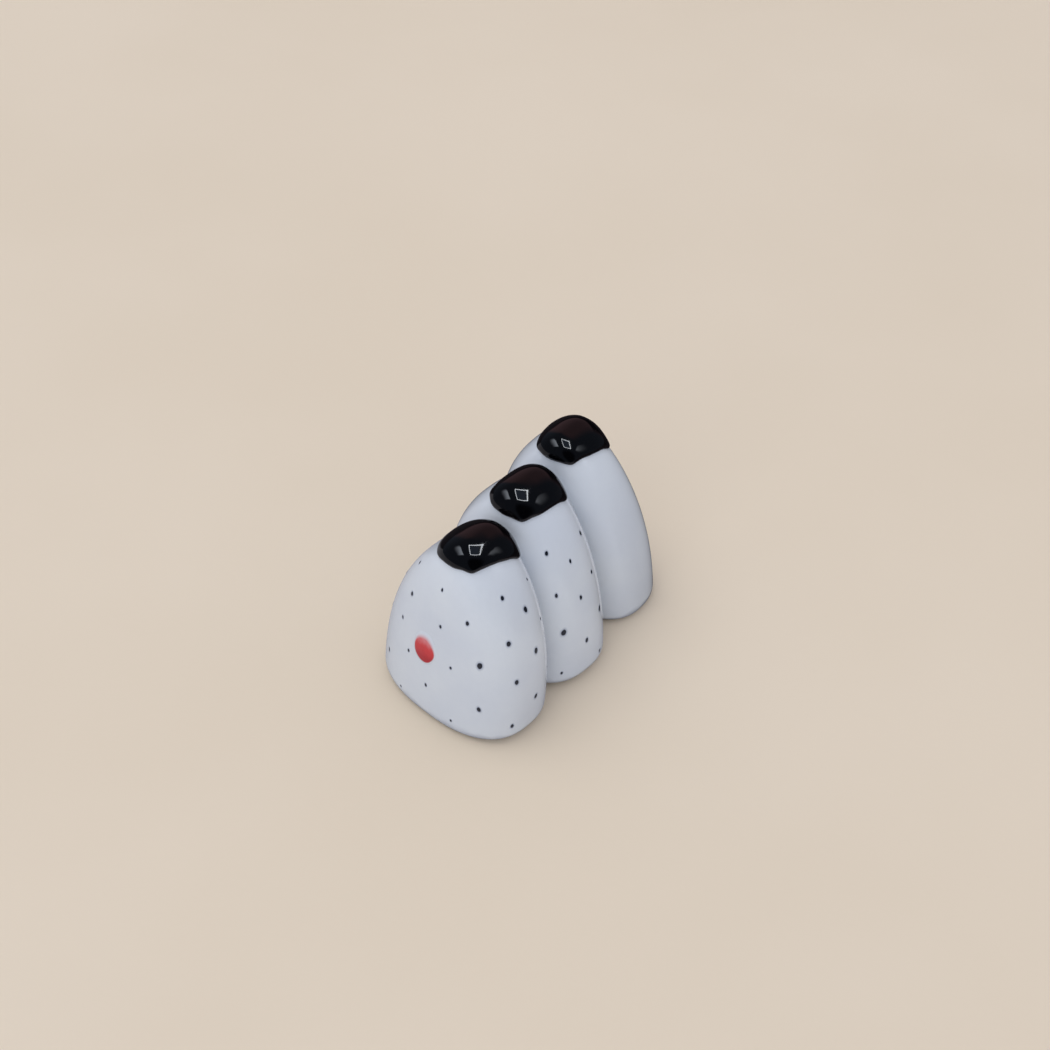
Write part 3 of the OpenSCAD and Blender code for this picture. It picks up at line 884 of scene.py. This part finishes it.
plumForm = {
    "wide": 4.0,  # of the washed-out rim too
    "tall": 5.05,
    "thick": 0.16,
    "height": 11.8,
    "right": -0.95,
    "seat": 0.02,
    "tuck": 0.01,  # its rim dips into the glaze by this
    "root": 0.05,
    "crownPower": 8,
    "raggedShare": 0.01,
    "raggedWaves": (2, 3, 5),
    "rings": 40,
    "sides": 96,
    "sharpAngle": 80,
    "seed": 77,
}
plumLooks = {
    "deep": (0.42, 0.004, 0.008, 1),
    "coral": (0.61, 0.036, 0.038, 1),
    "wash": (0.70, 0.26, 0.28, 1),
    "streakScale": 1100.0,
    "streakLift": 0.12,
    "coralRise": (-0.8, 0.15),  # from its foot at -1 to its top at 1
    "washRise": (0.0, 0.85),
    "rimRise": (-0.2, 0.9),  # the rim is crisp below and fades over a third of the radius above
    "rimStart": (0.84, 0.46),
    "rimEnd": 0.93,
}


def plumMaterial():
    material, nodes, links, shader = newMaterial("plumRed")
    tone = placeGlaze(nodes, (-1300, 0), whiteLooks["tone"])
    height = attributeOut(nodes, "plumHeight", (-1500, 300))
    out = attributeOut(nodes, "plumShare", (-1500, 500))
    place = addNode(nodes, "ShaderNodeTexCoord", (-1500, -300)).outputs["Object"]
    streak = noiseOut(nodes, links, (-1300, -300), place, plumLooks["streakScale"], 3.0)
    lift = mapRange(
        nodes, links, (-1100, -300), streak, *noiseSpread,
        -plumLooks["streakLift"], plumLooks["streakLift"], smooth=False)
    worn = addNode(nodes, "ShaderNodeMath", (-900, 200), operation="ADD")
    links.new(height, worn.inputs[0])
    links.new(lift, worn.inputs[1])
    rise = mapRange(nodes, links, (-700, 200), worn.outputs[0], *plumLooks["coralRise"], 0.0, 1.0)
    red = mixColor(nodes, links, (-500, 200), rise, plumLooks["deep"], plumLooks["coral"])
    top = mapRange(nodes, links, (-700, 0), worn.outputs[0], *plumLooks["washRise"], 0.0, 1.0)
    washed = mixColor(nodes, links, (-300, 200), top, red, plumLooks["wash"])
    rimStart = mapRange(
        nodes, links, (-900, 500), height, *plumLooks["rimRise"], *plumLooks["rimStart"])
    cover = mapRange(nodes, links, (-500, 500), out, rimStart, plumLooks["rimEnd"], 1.0, 0.0)
    color = mixColor(nodes, links, (-100, 100), cover, tone.outputs["Color"], washed)
    links.new(color, shader.inputs["Base Color"])
    links.new(tone.outputs["Roughness"], shader.inputs["Roughness"])
    coatClear(shader)
    return material


plumRed = plumMaterial()


def plumPiece(name, node):
    ball = balls["front"]
    form = plumForm
    turns = np.linspace(0, math.tau, form["sides"], endpoint=False)
    draw = random.Random(form["seed"])
    ragged = np.ones_like(turns)
    for waves in form["raggedWaves"]:
        ragged += form["raggedShare"] * np.sin(waves * turns + draw.uniform(0, math.tau))

    def spotRing(share, height):
        z = form["height"] + form["tall"] / 2 * share * ragged * np.sin(turns)
        right = form["right"] + form["wide"] / 2 * share * ragged * np.cos(turns)
        wide = halfSizes(ball, z)[0]
        angle = -np.arccos(signedPower(right / wide, ballForm["planSquare"] / 2))
        return lifted(ball, angle, z, height)

    rings = []
    outShares = []
    heights = []
    for k in range(form["rings"], 0, -1):
        share = k / form["rings"]
        dome = form["thick"] * math.sqrt(max(0.0, 1 - share**2)) * (1 - share ** form["crownPower"])
        rings.append(spotRing(share, form["seat"] + dome if share < 1 else -form["tuck"]))
        outShares.append(np.full(form["sides"], share))
        heights.append(share * np.sin(turns))
    stack = np.array(rings)
    faces = skinFaces(len(stack), form["sides"])
    under = spotRing(0, -form["root"])[0]
    tip = spotRing(0, form["seat"] + form["thick"])[0]
    points = skinPoints(stack, under, tip)
    values = {
        "plumShare": np.concatenate([[1.0], np.concatenate(outShares), [0.0]]),
        "plumHeight": np.concatenate([[0.0], np.concatenate(heights), [0.0]]),
    }
    piece = makePiece(name, [(points, faces)], plumRed, form["sharpAngle"], values)
    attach(piece, "root")
    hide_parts(node)


plumPiece("plumSpot", "plum_spot")
print("plum spot brushed")


# Unglazed feet

footForm = {
    "inset": 0.6,
    "wear": 0.12,  # the rounded lower arris
    "rootRise": 0.04,  # its root reaches this far up into the ball, and this much wider
    "rootFlare": 0.05,
    "rings": 8,
    "roundPoints": 200,
}
bisqueLooks = {
    "clay": (0.70, 0.66, 0.60, 1),
    "soiled": (0.52, 0.47, 0.41, 1),
    "soilScale": 220.0,
    "soilEdges": (0.45, 0.75),
    "soilMost": 0.8,
    "grainScale": 2600.0,
    "grainStrength": 0.5,
    "grainDepth": 0.00008,
    "roughness": (0.7, 0.92),
}


def bisqueMaterial():
    material, nodes, links, shader = newMaterial("bisqueClay")
    place = addNode(nodes, "ShaderNodeTexCoord", (-1100, 0)).outputs["Object"]
    broad = noiseOut(nodes, links, (-900, 200), place, bisqueLooks["soilScale"], 4.0)
    soil = mapRange(
        nodes, links, (-700, 200), broad, *bisqueLooks["soilEdges"], 0.0, bisqueLooks["soilMost"])
    color = mixColor(nodes, links, (-400, 200), soil, bisqueLooks["clay"], bisqueLooks["soiled"])
    links.new(color, shader.inputs["Base Color"])
    grain = noiseOut(nodes, links, (-900, -100), place, bisqueLooks["grainScale"], 4.0)
    rough = mapRange(nodes, links, (-400, 0), grain, *noiseSpread, *bisqueLooks["roughness"])
    links.new(rough, shader.inputs["Roughness"])
    normal = bumpFrom(
        nodes, links, (-400, -250), grain, bisqueLooks["grainStrength"], bisqueLooks["grainDepth"])
    links.new(normal, shader.inputs["Normal"])
    return material


bisqueClay = bisqueMaterial()


def footPiece(key, name, node):
    ball = balls[key]
    form = footForm
    across, along = levelAxes(ball)
    wide, thick = halfSizes(ball, np.array(ballForm["footHeight"]))
    angles = np.linspace(0, math.tau, form["roundPoints"], endpoint=False)
    power = 2 / ballForm["planSquare"]

    def footRing(z, inset):
        sideways = (wide - inset) * signedPower(np.cos(angles), power)
        lengthways = (thick - inset) * signedPower(np.sin(angles), power)
        ring = np.array(ball["place"]) + [0, 0, z]
        ring = ring + sideways[:, None] * across + lengthways[:, None] * along
        for seam, side in ballPresses[key]:
            ring = pressed(ring, seam, side, inset)
        return ring

    rings = []
    for turn in np.linspace(0, math.pi / 2, form["rings"]):
        drawn = form["wear"] * (1 - math.sin(turn))
        rings.append(footRing(form["wear"] * (1 - math.cos(turn)), form["inset"] + drawn))
    rootHeight = ballForm["footHeight"] + form["rootRise"]
    rings.append(footRing(rootHeight, form["inset"] - form["rootFlare"]))
    stack = np.array(rings)
    faces = skinFaces(len(stack), form["roundPoints"])
    points = skinPoints(stack, stack[0].mean(axis=0), stack[-1].mean(axis=0))
    piece = makePiece(name, [(points, faces)], bisqueClay)
    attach(piece, "root")
    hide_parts(node)


for key in balls:
    footPiece(key, f"{key}Foot", f"{key}_foot")
print("feet left bare")


# Pale floor

tableLooks = {
    "reach": 3.0,
    "paper": (0.806, 0.696, 0.551, 1),
    "paperDim": (0.783, 0.672, 0.525, 1),
    # painted shade in reflections: the floor as glossy rays see it, darker than the paper at the
    # front and near black behind the row
    "mirrored": (0.42, 0.40, 0.40, 1),  # as the glaze mirrors it at the front
    "beyond": (0.03, 0.022, 0.026, 1),  # and in the gloom behind the row
    "gloomEdges": (0.004, 0.016),  # in metres along the row
    "patchScale": 14.0,
    "grainScale": 900.0,
    "grainStrength": 0.15,
    "grainDepth": 0.0001,
    "roughness": 0.75,
    "specular": 0.2,
}


def tableMaterial():
    material, nodes, links, shader = newMaterial("palePaper")
    place = addNode(nodes, "ShaderNodeTexCoord", (-900, 0)).outputs["Object"]
    broad = noiseOut(nodes, links, (-700, 100), place, tableLooks["patchScale"], 3.0)
    patch = mapRange(nodes, links, (-500, 100), broad, *noiseSpread, 0.0, 1.0)
    color = mixColor(nodes, links, (-250, 100), patch, tableLooks["paper"], tableLooks["paperDim"])
    along = addNode(nodes, "ShaderNodeSeparateXYZ", (-700, 350))
    links.new(place, along.inputs[0])
    # painted shade for glossy rays: darker at the front, near black behind the row
    far = mapRange(
        nodes, links, (-500, 350), along.outputs["Y"], *tableLooks["gloomEdges"], 0.0, 1.0)
    mirrored = mixColor(
        nodes, links, (-250, 350), far, tableLooks["mirrored"], tableLooks["beyond"])
    ray = addNode(nodes, "ShaderNodeLightPath", (-250, 650))
    color = mixColor(nodes, links, (-50, 200), ray.outputs["Is Glossy Ray"], color, mirrored)
    links.new(color, shader.inputs["Base Color"])
    grain = noiseOut(nodes, links, (-700, -150), place, tableLooks["grainScale"], 3.0)
    normal = bumpFrom(
        nodes, links, (-300, -200), grain, tableLooks["grainStrength"], tableLooks["grainDepth"])
    links.new(normal, shader.inputs["Normal"])
    setInputs(
        shader, Roughness=tableLooks["roughness"], Specular_IOR_Level=tableLooks["specular"])
    return material


def tableTop():
    reach = tableLooks["reach"]
    mesh = bpy.data.meshes.new("table")
    corners = [(-reach, -reach, 0), (reach, -reach, 0), (reach, reach, 0), (-reach, reach, 0)]
    mesh.from_pydata(corners, [], [(0, 1, 2, 3)])
    mesh.update()
    table = bpy.data.objects.new("table", mesh)
    table.data.materials.append(tableMaterial())
    scene.collection.objects.link(table)


tableTop()
print("floor laid")


# Lamps, and the studio round them

lampFrame = {
    "corners": (  # ways to the four corners of a thin square frame of light
        (-0.03, 0.31, 0.966), (0.28, 0.43, 0.885), (0.585, 0.225, 0.80), (0.37, -0.01, 0.95),
    ),
    "distance": 0.75,
    "bar": 0.018,
    "overlap": 0.006,  # how much longer each bar is than its side
    "radiance": 14.0,
    "color": (0.94, 0.98, 1.04),
}
softLamps = {
    "overheadLamp": {
        "towards": (-0.35, -0.15, 0.92), "distance": 2.2, "side": 1.5,
        "radiance": 1.34, "color": (1.0, 0.99, 0.97),
    },
    "frontLamp": {
        "towards": (0.25, -0.85, 0.46), "distance": 2.2, "side": 1.5,
        "radiance": 1.18, "color": (0.89, 0.97, 1.09),
    },
}
studio = {
    "fill": (0.665, 0.672, 0.733, 1),  # what lights the piece from all round
    "seen": (0.70, 0.615, 0.51, 1),  # what stands beyond the floor
    "dark": (0.08, 0.095, 0.125, 1),  # what its gloss mirrors at the front and overhead
    "glow": (0.27, 0.16, 0.175, 1),  # a brown glow that it mirrors at the back
    "glowFront": (0.47, 0.57),  # the glow fades in between these two along +Y
    "glowSide": (0.10, 0.42),  # and out between these two along +X
    "glowFoot": (-0.21, -0.28, 0.90),  # upright on the slant plane in which it ends below
    "footSoftness": 0.10,
    "gloom": (0.012, 0.010, 0.013, 1),  # below the glow
    "shade": {"way": (0.80, -0.30, 0.52), "inner": 0.95, "outer": 0.85, "depth": 0.92},
    "strength": 1.0,
}
paleCards = (  # pale cards at the sides: corners, how softly each side fades, and how bright
    {
        "corners": (
            (0.15, -0.32, 0.935), (-0.33, -0.62, 0.71), (-0.86, 0.08, 0.50), (-0.61, 0.16, 0.775),
        ),
        "softness": (0.05, 0.5, 0.25, 0.06),
        "color": (3.3, 3.55, 4.0, 1),
    },
    {
        "corners": (
            (0.74, 0.29, 0.60), (0.56, 0.46, 0.685), (0.58, 0.56, 0.58),
            (0.79, 0.54, 0.26), (0.867, 0.345, 0.33),
        ),
        "softness": (0.03, 0.05, 0.45, 0.4, 0.1),
        "color": (3.2, 3.4, 3.7, 1),
    },
    {
        "corners": lampFrame["corners"],
        "softness": (0.03, 0.03, 0.03, 0.03),
        "color": (0.27, 0.34, 0.47, 1),
    },
)


def areaLamp(name, place, wide, tall, radiance, color):
    data = bpy.data.lights.new(name, "AREA")
    data.shape = "RECTANGLE"
    data.size = wide
    data.size_y = tall
    data.energy = radiance * math.pi * wide * tall
    data.color = color
    lamp = bpy.data.objects.new(name, data)
    lamp.location = place
    lamp.rotation_euler = (-Vector(place)).to_track_quat("-Z", "Y").to_euler()
    lamp.visible_camera = False
    scene.collection.objects.link(lamp)
    return lamp


def hangLampFrame():
    corners = [Vector(way).normalized() * lampFrame["distance"] for way in lampFrame["corners"]]
    for number, corner in enumerate(corners):
        after = corners[(number + 1) % len(corners)]
        middle = (corner + after) / 2
        lengthways = (after - corner).normalized()
        facing = (middle - lengthways * middle.dot(lengthways)).normalized()
        across = facing.cross(lengthways)
        length = (after - corner).length + lampFrame["overlap"]
        lamp = areaLamp(
            f"lampFrame{number}", middle, length, lampFrame["bar"],
            lampFrame["radiance"], lampFrame["color"])
        lamp.rotation_euler = Matrix((lengthways, across, facing)).transposed().to_euler()
        lamp.visible_diffuse = False


def hangSoftLamps():
    for name, look in softLamps.items():
        place = Vector(look["towards"]).normalized() * look["distance"]
        lamp = areaLamp(name, place, look["side"], look["side"], look["radiance"], look["color"])
        lamp.visible_glossy = False


hangLampFrame()
hangSoftLamps()


def cardMask(nodes, links, place, way, card):
    # inside the planes that pass through the eye and each side of the card
    centre = sum((Vector(corner) for corner in card["corners"]), Vector())
    mask = None
    x, y = place
    for number, corner in enumerate(card["corners"]):
        after = card["corners"][(number + 1) % len(card["corners"])]
        inward = Vector(corner).cross(Vector(after)).normalized()
        if inward.dot(centre) < 0:
            inward.negate()
        dot = addNode(nodes, "ShaderNodeVectorMath", (x, y - 150 * number), operation="DOT_PRODUCT")
        links.new(way, dot.inputs[0])
        dot.inputs[1].default_value = inward
        side = mapRange(
            nodes, links, (x + 200, y - 150 * number), dot.outputs["Value"],
            0.0, card["softness"][number], 0.0, 1.0)
        if mask is None:
            mask = side
            continue
        both = addNode(nodes, "ShaderNodeMath", (x + 400, y - 150 * number), operation="MULTIPLY")
        links.new(mask, both.inputs[0])
        links.new(side, both.inputs[1])
        mask = both.outputs[0]
    return mask


def buildStudio():
    world = bpy.data.worlds.new("studio")
    scene.world = world
    world.use_nodes = True
    nodes = world.node_tree.nodes
    links = world.node_tree.links
    background = nodes["Background"]
    way = addNode(nodes, "ShaderNodeTexCoord", (-1500, 0)).outputs["Generated"]
    split = addNode(nodes, "ShaderNodeSeparateXYZ", (-1300, 0))
    links.new(way, split.inputs[0])
    atLeft = mapRange(
        nodes, links, (-1100, 100), split.outputs["X"], *studio["glowSide"], 1.0, 0.0)
    atBack = mapRange(
        nodes, links, (-1100, -200), split.outputs["Y"], *studio["glowFront"], 0.0, 1.0)
    glowing = addNode(nodes, "ShaderNodeMath", (-900, 0), operation="MULTIPLY")
    links.new(atLeft, glowing.inputs[0])
    links.new(atBack, glowing.inputs[1])
    color = mixColor(nodes, links, (-700, 0), glowing.outputs[0], studio["dark"], studio["glow"])
    foot = addNode(nodes, "ShaderNodeVectorMath", (-1300, -250), operation="DOT_PRODUCT")
    links.new(way, foot.inputs[0])
    foot.inputs[1].default_value = studio["glowFoot"]
    belowGlow = mapRange(
        nodes, links, (-1100, -350), foot.outputs["Value"], 0.0, studio["footSoftness"], 1.0, 0.0)
    gloomy = addNode(nodes, "ShaderNodeMath", (-900, -200), operation="MULTIPLY")
    links.new(belowGlow, gloomy.inputs[0])
    links.new(glowing.outputs[0], gloomy.inputs[1])
    color = mixColor(nodes, links, (-600, -100), gloomy.outputs[0], color, studio["gloom"])
    for number, card in enumerate(paleCards):
        mask = cardMask(nodes, links, (-1300, -400 - 700 * number), way, card)
        color = mixColor(nodes, links, (-500 + 150 * number, 0), mask, color, card["color"])
    towards = addNode(nodes, "ShaderNodeVectorMath", (-500, -300), operation="DOT_PRODUCT")
    links.new(way, towards.inputs[0])
    towards.inputs[1].default_value = Vector(studio["shade"]["way"]).normalized()
    shade = mapRange(
        nodes, links, (-300, -300), towards.outputs["Value"],
        studio["shade"]["outer"], studio["shade"]["inner"], 0.0, studio["shade"]["depth"])
    color = mixColor(nodes, links, (-100, 0), shade, color, (0, 0, 0, 1))
    ray = addNode(nodes, "ShaderNodeLightPath", (-300, 300))
    color = mixColor(nodes, links, (100, 0), ray.outputs["Is Glossy Ray"], studio["fill"], color)
    color = mixColor(nodes, links, (300, 100), ray.outputs["Is Camera Ray"], color, studio["seen"])
    links.new(color, background.inputs["Color"])
    background.inputs["Strength"].default_value = studio["strength"]


buildStudio()
print("lamps hung")


print("scene built")
